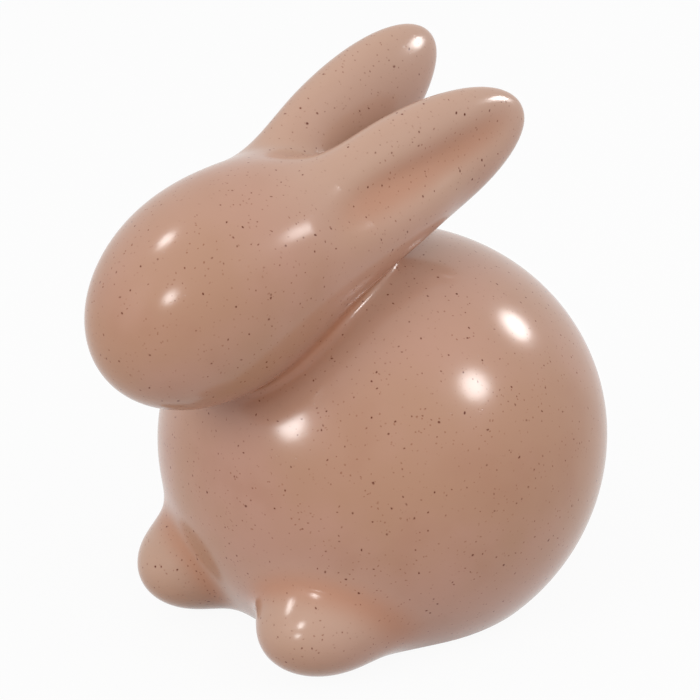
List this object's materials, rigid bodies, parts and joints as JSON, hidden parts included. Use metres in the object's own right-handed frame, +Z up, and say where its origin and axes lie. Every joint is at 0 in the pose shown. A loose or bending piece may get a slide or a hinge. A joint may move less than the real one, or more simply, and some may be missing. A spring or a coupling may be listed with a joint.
{
  "type": "ceramic rabbit figurine",
  "caption": "Sitting rabbit ornament with a round hollow body, smooth egg-shaped head without a face, ears laid back, paws at the front and a bobble tail, in glossy speckled glaze.",
  "frame": {"origin": "on the table, at the middle of the base disc's underside, under the middle of the body", "axes": "+Z up; the rabbit faces -Y; its left side is +X"},
  "size_m": [0.081, 0.1055, 0.0987],
  "materials": {
    "speckled_glaze": "glossy pinkish tan glaze with dark iron specks",
    "bare_clay": "unglazed brown stoneware, matt and a little gritty"
  },
  "bodies": {
    "root": {"body_shell": "speckled_glaze", "base_disc": "bare_clay", "head_shell": "speckled_glaze", "left_ear": "speckled_glaze", "right_ear": "speckled_glaze", "left_paw": "speckled_glaze", "right_paw": "speckled_glaze", "tail": "speckled_glaze"}
  },
  "joints": []
}
